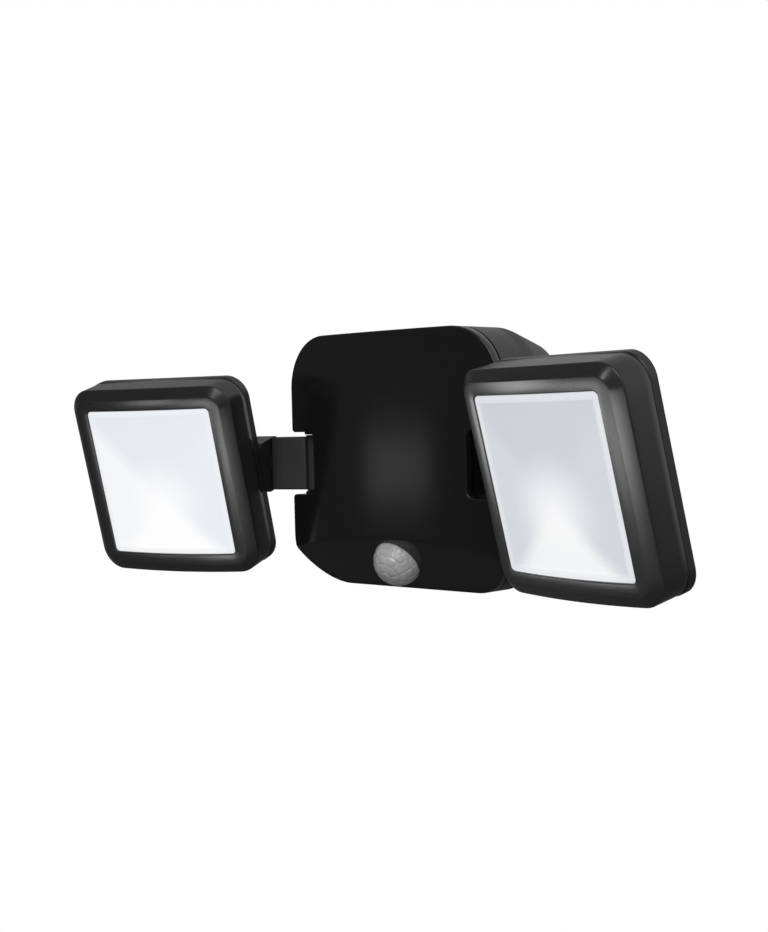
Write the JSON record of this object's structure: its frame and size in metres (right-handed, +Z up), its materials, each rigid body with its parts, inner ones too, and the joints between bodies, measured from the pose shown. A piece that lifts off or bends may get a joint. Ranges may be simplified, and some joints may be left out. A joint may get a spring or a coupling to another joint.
{
  "type": "twin-head motion floodlight",
  "caption": "Wall-mounted black floodlight with two hinged, tilting square lamp heads beside a rounded-square housing with a dome motion sensor.",
  "frame": {"origin": "centre of the wall plate, on the wall face", "axes": "+Y into the wall, front faces -Y, +Z up, +X to the right seen from the front, along the longest extent"},
  "size_m": [0.3971, 0.1405, 0.1382],
  "materials": {
    "cover_gloss": "polished black moulding",
    "housing_plastic": "satin black moulding",
    "dark_plastic": "fine textured black moulding",
    "arm_plastic": "fine textured black moulding",
    "bezel_plastic": "satin black moulding",
    "shell_plastic": "satin black moulding",
    "opal_diffuser": "smooth opal acrylic",
    "sensor_lens": "milky moulded lens film",
    "rubber": "moulded silicone",
    "rubber_white": "moulded white silicone",
    "plated_can": "nickel plated",
    "circuit_board": "solder mask",
    "chip_resin": "moulded resin",
    "capacitor_sleeve": "shrink sleeve",
    "white_plastic": "white moulding",
    "steel": "zinc plated",
    "cell_can": "printed jacket over steel can",
    "led_board_white": "white solder mask over metal core",
    "led_resin": "phosphor resin",
    "aluminium": "mill finish"
  },
  "bodies": {
    "housing": {"wall_plate": "dark_plastic", "rear_housing": "housing_plastic", "rear_gasket": "rubber", "mid_frame": "housing_plastic", "front_cover": "cover_gloss", "cover_gasket": "rubber", "pir_lens": "sensor_lens", "pir_retainer": "dark_plastic", "pir_sensor": "plated_can", "pir_board": "circuit_board", "control_board": "circuit_board", "board_chips": "chip_resin", "board_capacitors": "capacitor_sleeve", "board_connectors": "white_plastic", "board_screws": "steel", "battery_tray": "dark_plastic", "cell_upper_left": "cell_can", "cell_upper_right": "cell_can", "cell_lower_left": "cell_can", "cell_lower_right": "cell_can", "battery_springs": "steel", "battery_contacts": "steel", "cover_screws": "steel", "rear_screws": "steel", "plate_screws": "steel", "hinge_pins": "steel"},
    "left_arm": {"arm_left": "arm_plastic", "arm_cover_left": "dark_plastic", "arm_screws_left": "steel", "hinge_washers_left": "dark_plastic", "tilt_bolt_left": "steel", "tilt_disc_left": "dark_plastic", "tilt_nut_left": "steel"},
    "left_head": {"bezel_left": "bezel_plastic", "diffuser_left": "opal_diffuser", "lens_gasket_left": "rubber_white", "reflector_left": "white_plastic", "led_board_left": "led_board_white", "leds_left": "led_resin", "heat_plate_left": "aluminium", "rear_shell_left": "shell_plastic", "head_screws_left": "steel", "tilt_cap_left": "dark_plastic"},
    "right_arm": {"arm_right": "arm_plastic", "arm_cover_right": "dark_plastic", "arm_screws_right": "steel", "hinge_washers_right": "dark_plastic", "tilt_bolt_right": "steel", "tilt_disc_right": "dark_plastic", "tilt_nut_right": "steel"},
    "right_head": {"bezel_right": "bezel_plastic", "diffuser_right": "opal_diffuser", "lens_gasket_right": "rubber_white", "reflector_right": "white_plastic", "led_board_right": "led_board_white", "leds_right": "led_resin", "heat_plate_right": "aluminium", "rear_shell_right": "shell_plastic", "head_screws_right": "steel", "tilt_cap_right": "dark_plastic"}
  },
  "joints": [
    {"name": "left_arm_swing", "type": "hinge", "parent": "housing", "child": "left_arm", "pos_m": [-0.0639, -0.0586, -0.00125], "axis": [0, 0, 1], "range_deg": [-28, 45]},
    {"name": "left_head_tilt", "type": "hinge", "parent": "left_arm", "child": "left_head", "pos_m": [-0.14453, -0.08408, -0.00125], "axis": [0.9646, 0.2639, 0], "range_deg": [-45, 45]},
    {"name": "right_arm_swing", "type": "hinge", "parent": "housing", "child": "right_arm", "pos_m": [0.0639, -0.0586, -0.00125], "axis": [0, 0, -1], "range_deg": [-28, 45]},
    {"name": "right_head_tilt", "type": "hinge", "parent": "right_arm", "child": "right_head", "pos_m": [0.14583, -0.07954, -0.00125], "axis": [0.9778, -0.2096, 0], "range_deg": [-45, 45]}
  ]
}
